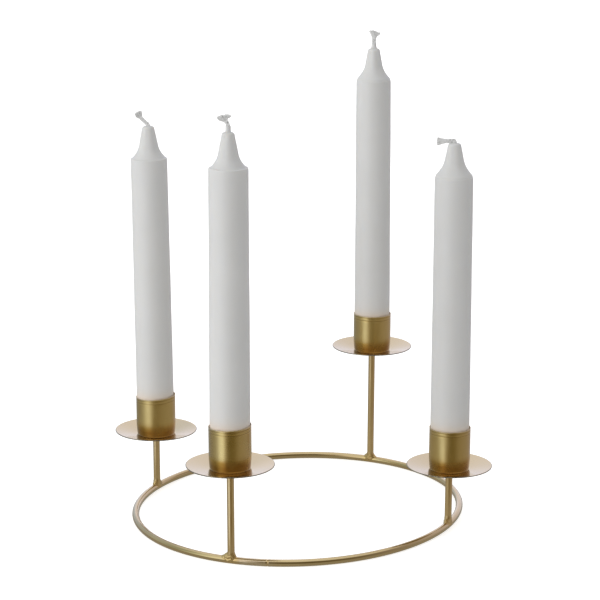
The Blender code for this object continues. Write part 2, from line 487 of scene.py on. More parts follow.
class Effects:
    """The effects that several materials share, each a node group built once."""

    EDGE_BREAK_SCALE: ClassVar[float] = 900.0  # how fine the breaks in the edge colour are, per metre

    def __init__(self) -> None:
        """Build the groups."""
        self.lines, self.drift, self.scuff_and_painted_light = self._lines(), self._drift(), self._scuff_and_painted_light()

    @staticmethod
    def _lines() -> NodeTree:
        """Fine lines left by a tool: they run where their scale is small."""
        graph = Group("Shader", "tool_lines", Vector=("Turn",),
                      Float=("Radial", "Height", "Around"))
        put = graph.put
        x, y, z = put["Turn"].xyz()
        flat = graph.add("ShaderNodeCombineXYZ", (x, y, 0.0))
        cosine, sine, _ = graph.vector("NORMALIZE", flat).xyz()
        spot = graph.add("ShaderNodeCombineXYZ", (
            graph.vector("LENGTH", flat) * put["Radial"], z * put["Height"],
            cosine * put["Around"]))
        return graph.close("Lines", "Float", graph.add("ShaderNodeTexNoise", {
            "Vector": spot, "W": sine * put["Around"], "Scale": 1.0, "Detail": 2.5},
            noise_dimensions="4D"))

    @staticmethod
    def _drift() -> NodeTree:
        """Slow cloudy change over a surface, pushed apart by its contrast."""
        graph = Group("Shader", "slow_drift", Vector=("Vector",), Float=("Scale", "Contrast"))
        put = graph.put
        noise = graph.add("ShaderNodeTexNoise", {
            "Vector": put["Vector"], "Scale": put["Scale"], "Detail": 3.0})
        pushed = (noise - 0.5) * put["Contrast"] + 0.5
        return graph.close("Mask", "Float", graph.remap(pushed, 0.0, 1.0))

    @classmethod
    def _scuff_and_painted_light(cls) -> NodeTree:
        """Edge colour of scuffing, painted highlights and painted shade, broken up by a fine noise.
        """
        graph = Group("Shader", "scuffed_and_painted_edge", Vector=("Vector",), Float=("Edge",))
        noise = graph.add("ShaderNodeTexNoise", {
            "Vector": graph.put["Vector"], "Scale": cls.EDGE_BREAK_SCALE})
        broken = graph.remap(noise, 0.3, 0.6, 0.35, 1.0)
        return graph.close("Mask", "Float", graph.put["Edge"] * broken)


class Surface(Graph):
    """The node tree of one material, with the shared effects at hand."""

    def __init__(self, name: str, effects: Effects | None = None) -> None:
        """Start the material with its Principled shader.

        Args:
            name: the material's name.
            effects: the shared node groups, where the material uses them.
        """
        self.material = bpy.data.materials.new(name)
        self.material.use_nodes = True
        super().__init__(self.material.node_tree)
        self.effects = effects
        self.shader = self.tree.nodes["Principled BSDF"]

    def attribute(self, name: str, output: str = "Fac") -> Value:
        """Return an attribute of the piece's own mesh."""
        return self.add("ShaderNodeAttribute", attribute_name=name)[output]

    def place(self) -> Value:
        """Return the place on the piece, in metres."""
        return self.add("ShaderNodeTexCoord")["Object"]

    def effect(self, tree: NodeTree, **values: object) -> Value:
        """Return what a shared effect puts out for these values."""
        return self.add("ShaderNodeGroup", values, node_tree=tree)

    def lines(self, grain: Grain) -> Value:
        """Return the tool lines of a grain."""
        return self.effect(self.effects.lines, Turn=self.attribute("turn", "Vector"),
                           **dict(zip(("Radial", "Height", "Around"), grain.value)))

    def clouds(self, kind: Clouds) -> Value:
        """Return a slow change of a kind over the piece."""
        return self.effect(self.effects.drift, Vector=self.place(),
                           **dict(zip(("Scale", "Contrast"), kind.value)))

    def bump(self, height: Value, strength: float, distance: float) -> Value:
        """Return the normals of a relief whose depth is in millimetres."""
        return self.add("ShaderNodeBump", {
            "Height": height, "Strength": strength, "Distance": distance * MM})

    def dress(self, inputs: dict[str, object]) -> Material:
        """Fill the shader's inputs.

        Args:
            inputs: the values, or the plain constants, by the input's name.

        Returns:
            The finished material.
        """
        for name, value in inputs.items():
            self.feed(self.shader.inputs[name], value)
        return self.material

    def glow(self, colour: object) -> Material:
        """Make the material a plain glow.

        Args:
            colour: the colour, or a value that holds it.

        Returns:
            The finished material.
        """
        self.tree.nodes.remove(self.shader)
        light = self.add("ShaderNodeEmission", {"Color": colour})
        self.feed(self.tree.nodes["Material Output"].inputs["Surface"], light)
        return self.material


@dataclass(frozen=True)
class BrassFinish:
    """Lacquered brass plate."""

    name: str
    bright: Colour  # the clean metal
    dull: Colour  # where it has drifted darker
    scuff_and_painted_colour: Colour  # the colour at marked edges: scuffing on the cups' lips, a painted highlight on the wire and lips, painted shade on the pans' rims
    roughness: Pair  # the lowest and the highest
    grain: Grain
    grain_depth: float  # in millimetres
    coat: float  # the weight of the lacquer
    coat_roughness: float
    weld_and_shade_tint: Colour | None = None  # the colour that a weld leaves on the wire and posts, and painted shade on the cups
    weld_polish: ClassVar[float] = 0.09  # how much smoother the metal is there
    weld_break: ClassVar[float] = 0.7  # how much of the tint stays where the smudges break it
    drift_share: ClassVar[float] = 0.6  # how much of the change in colour isn't in the tool lines
    smudge_share: ClassVar[float] = 0.5  # the same for the roughness
    smudge_span: ClassVar[Pair] = (0.25, 0.75)  # the noise over which the roughness runs

    def material(self, effects: Effects) -> Material:
        """Build the material.

        Args:
            effects: the shared node groups.

        Returns:
            The new material.
        """
        surface = Surface(self.name, effects)
        lines, smudge = surface.lines(self.grain), surface.clouds(Clouds.METAL_SMUDGE)
        # The edge mark is scuffing and painted light: a painted highlight on the wire and the cups'
        # lips, painted shade on the pans' rims.
        scuff_and_light_mask = surface.effect(effects.scuff_and_painted_light, Vector=surface.place(), Edge=surface.attribute("edge"))
        share = (surface.clouds(Clouds.METAL_TONE) * self.drift_share
                 + lines * (1.0 - self.drift_share))
        colour = surface.mix(scuff_and_light_mask, surface.mix(share, self.bright, self.dull), self.scuff_and_painted_colour)
        spread = smudge * self.smudge_share + lines * (1.0 - self.smudge_share)
        roughness = surface.remap(spread, *self.smudge_span, *self.roughness)
        coat = self.coat
        # The weld mark is a weld's own tint on the wire and posts, and painted shade on the cups:
        # darker towards the foot and in the turned lines.
        if self.weld_and_shade_tint:
            broken = surface.remap(smudge, 0.0, 1.0, self.weld_break, 1.0)
            weld = surface.attribute("weld") * broken
            colour = surface.mix(weld, colour, self.weld_and_shade_tint)
            roughness = roughness - weld * self.weld_polish
            coat = surface.remap(weld, 0.0, 1.0, self.coat, 1.0)
        return surface.dress({
            "Base Color": colour, "Roughness": roughness, "Metallic": 1.0,
            "Coat Weight": coat, "Coat Roughness": self.coat_roughness,
            "Normal": surface.bump(lines, 1.0, self.grain_depth)})


@dataclass(frozen=True)
class WaxFinish:
    """White candle wax."""

    name: str
    clear: Colour  # the smooth wax
    cloudy: Colour  # where it is a little cloudier
    painted_bounce: Colour  # painted bounce light from the brass cup, just above it
    roughness: Pair  # the lowest and the highest
    scatter: float  # how much light goes through the surface
    depth: float  # how far it goes, in millimetres
    scatter_colour: ClassVar[Colour] = (1.0, 0.92, 0.8)
    refraction: ClassVar[float] = 1.44
    specular: ClassVar[float] = 0.35
    relief: ClassVar[Pair] = (0.8, 0.06)  # its strength, and its depth in millimetres
    line_share: ClassVar[float] = 0.7  # how much of the relief is in the dipping lines

    def material(self, effects: Effects) -> Material:
        """Build the material.

        Args:
            effects: the shared node groups.

        Returns:
            The new material.
        """
        surface = Surface(self.name, effects)
        tone = surface.clouds(Clouds.WAX_TONE)
        height = (surface.lines(Grain.DIPPED_WAX) * self.line_share
                  + surface.clouds(Clouds.WAX_SPECKS) * (1.0 - self.line_share))
        colour = surface.mix(tone, self.clear, self.cloudy)
        return surface.dress({
            # The edge mark on the candle is painted bounce light from the brass cup, warmer just
            # above the lip.
            "Base Color": surface.mix(surface.attribute("edge"), colour, self.painted_bounce),
            "Roughness": surface.remap(tone, 0.0, 1.0, *self.roughness),
            "Normal": surface.bump(height, *self.relief),
            "Subsurface Weight": self.scatter, "Subsurface Radius": self.scatter_colour,
            "Subsurface Scale": self.depth * MM, "IOR": self.refraction,
            "Specular IOR Level": self.specular})


@dataclass(frozen=True)
class CottonFinish:
    """Unburnt cotton, dipped in wax at its foot."""

    name: str
    pale: Colour  # the outer fibres
    deep: Colour  # between them
    roughness: float
    sheen: float  # how much the fibres catch light at the edge
    relief: ClassVar[Pair] = (0.5, 0.03)  # its strength, and its depth in millimetres
    fibre_share: ClassVar[float] = 0.6  # how much of the change in colour is in single fibres

    def material(self, effects: Effects) -> Material:
        """Build the material.

        Args:
            effects: the shared node groups.

        Returns:
            The new material.
        """
        surface = Surface(self.name, effects)
        fibres = surface.clouds(Clouds.COTTON_FIBRES)
        share = (fibres * self.fibre_share
                 + surface.clouds(Clouds.COTTON_TUFTS) * (1.0 - self.fibre_share))
        return surface.dress({
            "Base Color": surface.mix(share, self.pale, self.deep), "Roughness": self.roughness,
            "Normal": surface.bump(fibres, *self.relief), "Sheen Weight": self.sheen})


# Its edge colour is a painted highlight on the stretch beside the front weld.
WIRE_FINISH = BrassFinish(
    "brass_wire", (0.70, 0.53, 0.25), (0.53, 0.38, 0.16), (0.86, 0.74, 0.54), (0.10, 0.18),
    Grain.DRAWN_RING, 0.010, 1.0, 0.08, (0.70, 0.48, 0.17))
POST_FINISH = BrassFinish(
    "brass_post", (0.84, 0.62, 0.30), (0.66, 0.47, 0.21), (0.86, 0.70, 0.42), (0.30, 0.42),
    Grain.DRAWN_POST, 0.012, 0.5, 0.15, (0.70, 0.48, 0.17))
# Its dark edge colour is a painted shade line along the rim.
PAN_FINISH = BrassFinish(
    "brass_pan", (0.71, 0.58, 0.34), (0.66, 0.53, 0.29), (0.15, 0.13, 0.11), (0.10, 0.16),
    Grain.SPUN_SHEET, 0.004, 0.5, 0.06)
# Its edge colour is scuffing plus a painted highlight on the lip. Its last colour is painted shade,
# darker towards the foot and in the turned lines.
CUP_FINISH = BrassFinish(
    "brass_cup", (0.72, 0.53, 0.20), (0.64, 0.46, 0.16), (0.66, 0.58, 0.46), (0.25, 0.32),
    Grain.SPUN_WALL, 0.006, 0.35, 0.14, (0.31, 0.146, 0.004))
# Its third colour is painted bounce light from the brass cups.
WAX_FINISH = WaxFinish(
    "white_wax", (0.815, 0.815, 0.806), (0.785, 0.785, 0.776), (0.86, 0.74, 0.62), (0.34, 0.44),
    0.35, 3.0)
COTTON_FINISH = CottonFinish("white_cotton", (0.99, 0.99, 0.985), (0.93, 0.93, 0.92), 0.85, 0.4)


@dataclass
class WireRing:
    """The ring that lies on the table: one drawn wire, bent round and butt-welded."""

    steps: int = 1500  # how many rows go round the ring
    sides: int = 24  # how many points go round the wire
    seam_bearing: float = 283.8  # where the two ends of the wire meet, in degrees from +X
    seam_bulge: float = 0.1  # how far the joint stands proud
    seam_width: float = 1.1  # half the width of the joint
    notch_depth: float = 0.22  # how deep the line is where the two ends meet
    notch_width: float = 0.5  # half the width of that line
    weld_reach: float = 4.4  # how far the heat of a post's weld has tinted the wire
    # A painted highlight on the stretch beside the front weld, as bearings and how strongly it
    # takes the pale edge colour
    painted_highlight_stretch: tuple[Pair, ...] = (
        (274.0, 0.0), (276.0, 0.5), (282.5, 0.4), (287.0, 0.0))
    packed_sides: ClassVar[int] = 12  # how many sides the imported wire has

    def __post_init__(self) -> None:
        """Fit the ring's middle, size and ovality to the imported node."""
        points = np.unique(mesh_points(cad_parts["ring"].data).round(4), axis=0)
        self.middle = Vector((*points[:, :2].mean(axis=0), 0.0))
        flat = points[:, :2] - np.array(self.middle.xy)
        angle = np.arctan2(flat[:, 1], flat[:, 0])
        terms = np.stack([np.ones(len(angle)), np.cos(2 * angle), np.sin(2 * angle)], axis=1)
        fit = np.linalg.lstsq(terms, np.linalg.norm(flat, axis=1), rcond=None)[0]
        self.radius = float(fit[0])
        self.ovality = float(math.hypot(fit[1], fit[2]) / fit[0])
        self.long_axis = 0.5 * math.atan2(fit[2], fit[1])
        half = math.pi / self.packed_sides
        self.wire = float(points[:, 2].max()) / 2.0 / math.cos(half) * math.sqrt(
            math.sin(2.0 * half) / (2.0 * half))

    def point(self, bearing: float) -> Vector:
        """Return the point on the wire's centre line at a bearing in radians."""
        reach = self.radius * (1.0 + self.ovality * math.cos(2.0 * (bearing - self.long_axis)))
        offset = Vector((reach * math.cos(bearing), reach * math.sin(bearing), self.wire))
        return self.middle + offset

    def direction(self, bearing: float) -> Vector:
        """Return the direction in which the wire runs at a bearing in radians."""
        step = 0.01
        return (self.point(bearing + step) - self.point(bearing - step)).normalized()

    @staticmethod
    def tree() -> Shaping:
        """Build the geometry tree: a wire swept round a circle, pressed oval, with its joint."""
        graph = Shaping("bent_wire_ring", Vector=("Middle",), Int=("Steps", "Sides"), Float=(
            "Radius", "Ovality", "Long Axis", "Wire", "Seam", "Seam Width", "Seam Bulge",
            "Notch Width", "Notch Depth"))
        put = graph.put
        swept = graph.swept(graph.circle(put["Steps"], put["Radius"]),
                            graph.circle(put["Sides"], put["Wire"]))
        where = graph.add("GeometryNodeInputPosition")
        x, y, _ = where.xyz()
        bearing = graph.math("ARCTAN2", y, x)

        def hill(width: str) -> Value:
            """Return a round hill of height 1 at the joint."""
            ratio = (bearing - put["Seam"]) * put["Radius"] / put[width]
            return graph.math("EXPONENT", ratio * ratio * -1.0)

        kept = graph.stored(swept, "turn", "FLOAT_VECTOR", where * (1.0 / MM))
        out = graph.vector("NORMALIZE", where * (1.0, 1.0, 0.0))
        swing = graph.math("COSINE", (bearing - put["Long Axis"]) * 2.0)
        pressed = graph.moved(kept, out * (swing * put["Ovality"] * put["Radius"]))
        notch = hill("Notch Width")
        lift = hill("Seam Width") * put["Seam Bulge"] - notch * put["Notch Depth"]
        jointed = graph.moved(pressed, graph.add("GeometryNodeInputNormal") * lift)
        marked = graph.stored(jointed, "seam", "FLOAT", notch)
        return graph.finish(graph.moved(marked, put["Middle"]))

    def build(self, material: Material, feet: list[Vector]) -> Object:
        """Make the ring.

        Args:
            material: the wire's material.
            feet: where the posts stand.

        Returns:
            The finished piece.
        """
        start = place_object("ring_start", bpy.data.meshes.new("ring_start"))
        lengths = {"Radius": self.radius, "Wire": self.wire, "Seam Width": self.seam_width,
                   "Seam Bulge": self.seam_bulge, "Notch Width": self.notch_width,
                   "Notch Depth": self.notch_depth}
        mesh = self.tree().run(
            start, material, lengths, Ovality=self.ovality, Long_Axis=self.long_axis,
            Seam=math.radians(self.seam_bearing) - FULL_TURN, Steps=self.steps, Sides=self.sides,
            Middle=(self.middle.x * MM, self.middle.y * MM, self.wire * MM))
        points = mesh_points(mesh)
        points[:, 2] = np.maximum(points[:, 2], 0.0)
        mesh.vertices.foreach_set("co", (points * MM).ravel())
        weld = np.zeros(len(points))
        mesh.attributes["seam"].data.foreach_get("value", weld)
        mesh.attributes.remove(mesh.attributes["seam"])
        for foot in feet:
            reach = np.linalg.norm(points - np.array(foot), axis=1) / self.weld_reach
            weld = np.maximum(weld, np.exp(-reach ** 4))
        mark(mesh, "weld", weld)
        bearing = np.degrees(np.arctan2(points[:, 1] - self.middle.y, points[:, 0] - self.middle.x))
        # Painted highlight: the stretch beside the front weld takes the pale edge colour.
        mark(mesh, "edge", np.interp(bearing % 360.0, *zip(*self.painted_highlight_stretch)))
        return place_object("wire_ring", mesh)


@dataclass(frozen=True)
class WeldShape:
    """The weld at the foot of one post, with its own uneven legs."""

    ahead: float  # how far it runs along the ring in the direction of rising bearing
    behind: float  # how far it runs the other way
    height: float  # how far it climbs up the post
    lumps: float  # how uneven it is
    seed: float  # a number that makes its lumps its own


WELDS = {
    Place.RIGHT: WeldShape(1.6, 3.2, 3.0, 0.34, 1.7),
    Place.BACK: WeldShape(2.4, 2.0, 2.4, 0.28, 5.3),
    Place.LEFT: WeldShape(1.6, 3.4, 2.8, 0.34, 9.1),
    Place.FRONT: WeldShape(1.2, 4.2, 2.8, 0.34, 13.9),
}


@dataclass
class Post:
    """An upright wire: a weld on the ring, a straight shaft and a small braze under the pan."""

    place: Place
    ring: WireRing
    axis: Spindle  # the spindle of its pan, on which the post stands too
    low: float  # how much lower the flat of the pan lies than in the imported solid
    sides: int = 40  # how many points go round
    weld_rows: int = 22
    weld_side: float = 0.25  # how far the weld spreads to the sides of the ring
    skirt_fall: float = 0.4  # how steeply its skirt falls there
    sink: float = 0.25  # how deep that skirt goes into the ring
    shaft_row: float = 1.2  # the distance between the rows of the shaft
    braze_rows: int = 6
    braze_reach: float = 1.1  # how far the braze under the pan spreads
    braze_height: float = 0.9  # how far it runs down the post
    lump_size: ClassVar[float] = 0.9
    lump_middle: ClassVar[float] = 0.42  # the noise that leaves the weld as it is
    lump_swing: ClassVar[float] = 4.0  # how far the noise swings it
    weld_hollow: ClassVar[float] = 1.25  # how hollow the weld's slope is
    weld_fade: ClassVar[float] = 0.5  # how late its mark fades up that slope

    @property
    def foot(self) -> Vector:
        """The point where the post's axis meets the ring's centre line."""
        climb = (self.ring.wire - self.axis.foot.z) / self.axis.along.z
        return self.axis.foot + self.axis.along * climb

    def stand(self) -> Matrix:
        """Return the turn and shift that stand the post on the ring."""
        return replace(self.axis, foot=self.foot).matrix()

    def rows(self) -> tuple[list[np.ndarray], list[float]]:
        """Return the rows of the post round its own axis, and how much weld is in each."""
        weld, wire, foot = WELDS[self.place], self.ring.wire, self.foot
        angles = np.linspace(0.0, FULL_TURN, self.sides, endpoint=False)
        heading = self.ring.direction(math.atan2(foot.y - self.ring.middle.y,
                                                 foot.x - self.ring.middle.x))
        local = self.stand().to_3x3().transposed() @ heading
        along = math.atan2(local.y, local.x)
        legs = np.where(np.cos(angles) > 0.0, weld.ahead, weld.behind)
        rows, marks = [], []
        for share in (0.0, *shares(self.weld_rows)):
            spread = (1.0 - share) ** self.weld_hollow
            run = (wire + legs * spread) * np.cos(angles)
            offset = (wire + self.weld_side * spread) * np.sin(angles)
            saddle = np.sqrt(np.maximum((wire - self.sink) ** 2 - offset ** 2, 0.0))
            saddle = np.where(np.abs(offset) > wire - self.sink,
                              -self.skirt_fall * (np.abs(offset) - wire), saddle)
            height = (1.0 - share) * saddle + share * (wire + weld.height)
            turned = (run * math.cos(along) - offset * math.sin(along),
                      run * math.sin(along) + offset * math.cos(along), height)
            rows.append(np.stack(turned, axis=1))
            marks.append((1.0 - share) ** self.weld_fade)
        top = (self.axis.foot - foot).length - self.low
        start, end = wire + weld.height, top - self.braze_height
        shaft = [(start + (end - start) * share, wire)
                 for share in shares(max(2, round((end - start) / self.shaft_row)))]
        shaft += [(top - self.braze_height * (1.0 - share), wire + self.braze_reach * share ** 2)
                  for share in shares(self.braze_rows)]
        circle = np.stack([np.cos(angles + along), np.sin(angles + along), 0.0 * angles], axis=1)
        rows += [circle * radius + np.array([0.0, 0.0, level]) for level, radius in shaft]
        return rows, marks + [0.0] * len(shaft)

    @classmethod
    def lumps_tree(cls) -> Shaping:
        """Build the geometry tree that makes a weld uneven where its mark says so."""
        graph = Shaping("weld_lumps", Float=("Depth", "Size", "Seed"))
        put = graph.put
        size = graph.add("ShaderNodeCombineXYZ", [put["Size"]] * 3)
        shift = graph.add("ShaderNodeCombineXYZ", [put["Seed"]] * 2)
        noise = graph.add("ShaderNodeTexNoise", {
            "Vector": graph.add("GeometryNodeInputPosition") / size + shift,
            "Scale": 1.0, "Detail": 1.5})
        weld = graph.add("GeometryNodeInputNamedAttribute", {"Name": "weld"}, data_type="FLOAT")
        lift = (noise - cls.lump_middle) * put["Depth"] * weld * cls.lump_swing
        normal = graph.add("GeometryNodeInputNormal")
        return graph.finish(graph.moved(put["Geometry"], normal * lift))

    def build(self, material: Material, tree: Shaping) -> Object:
        """Make the post.

        Args:
            material: the post's material.
            tree: the tree that makes the weld uneven.

        Returns:
            The finished piece.
        """
        rows, marks = self.rows()
        start = Skin(rows, [0.0] * len(rows)).to_object("post_start", self.stand(), material)
        mark(start.data, "weld", [*np.repeat(marks, self.sides), 1.0, 0.0])
        weld = WELDS[self.place]
        mesh = tree.run(start, material, {"Depth": weld.lumps, "Size": self.lump_size},
                        Seed=weld.seed)
        return place_object("wire_post_" + self.place.value, mesh)


@dataclass
class TurnedPart:
    """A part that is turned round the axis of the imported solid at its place."""

    place: Place
    axis: Spindle
    kind: ClassVar[str]  # the first words of its piece's name
    steps: ClassVar[int]  # how many points go round

    def outline(self) -> Outline:
        """Return its outline, from the pole below to the pole above."""
        raise NotImplementedError

    def shaped(self, points: np.ndarray) -> np.ndarray:
        """Return the points of the even part as hand work has left them."""
        return points

    def build(self, material: Material) -> Object:
        """Make the part.

        Args:
            material: its material.

        Returns:
            The finished piece.
        """
        skin = Skin.turned(self.outline(), self.steps)
        name = self.kind + self.place.value
        return skin.to_object(name, self.axis.matrix(), material, self.shaped)


@dataclass
class DripPan(TurnedPart):
    """A drip pan: thin spun sheet, flat in the middle and dished up to a burnished rim."""

    low: float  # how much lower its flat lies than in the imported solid
    sheet: float = 0.6  # the thickness that shows at the rim
    flat: float = 11.2  # the radius of its flat middle
    bend: float = 1.6  # the radius over which the flat turns up into the flank
    brim: float = 0.7  # the width of the burnished band at the rim
    kind: ClassVar[str] = "spun_pan_"
    steps: ClassVar[int] = 192
    inner_rows: ClassVar[Triple] = (2.0, 5.0, 8.0)  # the radii of the rows inside the flat

    def outline(self) -> Outline:
        """Return the pan's outline, from the pole below to the pole above."""
        half = self.sheet / 2.0
        rim = self.axis.radius - half
        rise = self.axis.length - self.sheet + self.low
        slope = rise / (rim - self.brim - self.flat)

        def level(radius: float) -> float:
            """Return the height of the lower skin at a radius."""
            reach = max(0.0, radius - self.flat)
            if reach < self.bend:
                return slope * reach * reach / (2.0 * self.bend) - self.low
            over = max(0.0, radius - (rim - self.brim))
            lift = slope * (reach - self.bend / 2.0) - self.low
            return lift - 0.5 * slope * over * over / self.brim

        flank = self.flat + self.bend
        radii = [*self.inner_rows, self.flat]
        radii += [self.flat + self.bend * share for share in shares(4)]
        radii += [flank + (rim - self.brim - flank) * share for share in shares(12)]
        radii += [rim - self.brim + self.brim * share for share in shares(4)[:-1]]
        # The rim's edge takes the dark edge colour: a painted shade line along the rim.
        edge = round_corner((rim, level(rim) + half), half, -90.0, 90.0, 8, 1.0)
        return ([(radius, level(radius)) for radius in radii] + edge
                + [(radius, level(radius) + self.sheet) for radius in reversed(radii)])


@dataclass(frozen=True)
class Fit:
    """How one hand-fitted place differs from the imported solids, which are all alike."""

    girth: float  # how thick its candle and cup are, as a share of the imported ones
    low: float  # how much lower the cup and the flat of the pan lie
    trim: float  # how much taller the cup is
    tilt: float  # how much higher the right side of the lip is than the left
    satin: float  # how much rougher the metal of the cup is


FITS = {
    Place.RIGHT: Fit(1.011, -0.1, 0.75, 0.0, 0.05),
    Place.BACK: Fit(0.984, 0.3, -0.6, 0.0, 0.06),
    Place.LEFT: Fit(1.008, 0.3, -0.1, 1.5, 0.10),
    Place.FRONT: Fit(1.013, -0.2, 0.4, 1.1, 0.0),
}


@dataclass
class Cup(TurnedPart):
    """A candle cup: drawn sheet with a round bottom corner, turned lines, and a lip with scuffing
    and a painted highlight.
    """

    wall: float = 0.38  # the thickness of the sheet
    drop: float = 0.29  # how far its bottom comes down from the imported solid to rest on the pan
    corner: float = 1.3  # the radius of the bottom corner
    braze: float = 34.0  # the angle up to which solder fills the gap below that corner
    draft: float = 0.35  # how much narrower the cup is just above that corner
    draft_height: float = 8.0  # the height over which it widens again
    lip_flare: float = 0.08  # how far the lip opens
    lip_height: float = 0.9  # the height over which it opens
    line_depths: tuple[float, ...] = (1.1, 2.9)  # how far below the lip the turned lines lie
    line_depth: float = 0.12  # how deep they are cut
    line_width: float = 0.26  # half the width of one
    painted_line_shade: float = 0.75  # how much painted shade the turned lines take
    # How much painted shade the cup takes, by the height above the foot: darker towards the foot
    painted_foot_shade: tuple[Pair, ...] = (
        (0.0, 1.2), (3.0, 1.2), (5.4, 0.85), (8.4, 0.15), (10.0, 0.0))
    kind: ClassVar[str] = "spun_cup_"
    steps: ClassVar[int] = 144
    floor_rows: ClassVar[Pair] = (3.0, 6.0)  # the radii of the rows of its floor
    draft_curve: ClassVar[float] = 1.6  # how soon the wall widens again
    line_margin: ClassVar[float] = 1.0  # how far below the lowest line the plain wall ends
    painted_floor_shade: ClassVar[float] = 0.5  # the painted shade at the middle of its floor

    @property
    def height(self) -> float:
        """The cup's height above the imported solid's foot."""
        return self.axis.length + FITS[self.place].trim - FITS[self.place].low

    def outline(self) -> Outline:
        """Return the cup's outline, from the pole below its floor to the pole inside it."""
        fit = FITS[self.place]
        radius, height = self.axis.radius * fit.girth, self.height
        half, low = self.wall / 2.0, -self.drop - fit.low
        foot = radius - self.draft - self.corner, low + self.corner
        bead = foot[0] + self.corner * math.cos(math.radians(self.braze))
        wide = low + self.draft_height
        points = [(row, low) for row in (*self.floor_rows, bead)]
        points += round_corner(foot, self.corner, -self.braze, 0.0, 9)
        points += [(radius - self.draft * (1.0 - share) ** self.draft_curve,
                    foot[1] + (self.draft_height - self.corner) * share) for share in shares(8)]
        lowest_line = height - self.line_depths[-1] - self.line_margin
        points += stretch((radius, wide), (radius, lowest_line), 8)
        points.append((radius, lowest_line))
        for depth in reversed(self.line_depths):
            points += [(radius, height - depth - self.line_width),
                       (radius - self.line_depth, height - depth),
                       (radius, height - depth + self.line_width)]
        lip, neck = radius + self.lip_flare - half, height - self.lip_height
        # The lip takes the pale edge colour: scuffing, and a painted highlight along it.
        points += [(radius + self.lip_flare * share ** 2, neck + (self.lip_height - half) * share,
                    0.5 * share) for share in shares(3)]
        points += round_corner((lip, height - half), half, 0.0, 180.0, 8, 0.6)
        inner = radius - self.wall
        points += [(inner, neck), *stretch((inner, neck), (inner, wide), 6), (inner, wide)]
        points += round_corner(foot, self.corner - self.wall, 0.0, -90.0, 6)
        return points + [(row, low + self.wall) for row in reversed(self.floor_rows)]

    def shaped(self, points: np.ndarray) -> np.ndarray:
        """Trim the lip at a slight slant, as a hand-held cutter does.

        Args:
            points: the points of the even cup.

        Returns:
            The points of the real one.
        """
        share = np.clip(points[:, 2] / self.height, 0.0, 1.0) ** 3
        lift = 0.5 * FITS[self.place].tilt * share * points[:, 0] / self.axis.radius
        return points + np.outer(lift, (0.0, 0.0, 1.0))

    def build(self, material: Material) -> Object:
        """Make the cup, and mark where it takes painted shade: darker towards the foot and in the
        turned lines.

        Args:
            material: the cup's material.

        Returns:
            The finished piece.
        """
        cup = super().build(material)
        level = np.array([point[1] for point in self.outline()])
        marks = np.interp(level + self.drop + FITS[self.place].low, *zip(*self.painted_foot_shade))
        for depth in self.line_depths:
            marks += self.painted_line_shade * np.isclose(level, self.height - depth)
        # The weld attribute carries painted shade here: darker towards the foot, in the turned
        # lines and at the floor.
        mark(cup.data, "weld", [*np.repeat(marks, self.steps), self.painted_floor_shade, self.painted_floor_shade])
        return cup


@dataclass(frozen=True)
class TipShape:
    """The wax round the foot of one wick."""

    collar: float  # how far the wax climbs up the wick
    collar_foot: float  # the radius of the climbing wax at its foot
    collar_top: float  # its radius where it ends
    facets: int  # how many flats the cone has been cut with
    flatness: float  # how far a flat lies inside the round
    turn: float  # the bearing of the first flat, in degrees
    girth: float  # the radius of the cone's straight taper at the shoulder
    flare: Pair  # the root of its foot's extra radius, and how fast it falls


TIPS = {
    Place.RIGHT: TipShape(0.3, 1.6, 1.2, 6, 0.03, 10.0, 7.4, (2.0, 0.2)),
    Place.BACK: TipShape(3.4, 2.0, 1.45, 6, 0.03, 31.0, 7.5, (1.95, 0.2)),
    Place.LEFT: TipShape(0.4, 1.6, 1.1, 6, 0.03, 3.0, 7.3, (1.72, 0.22)),
    Place.FRONT: TipShape(3.3, 1.6, 1.5, 6, 0.03, 22.0, 7.2, (1.62, 0.22)),
}


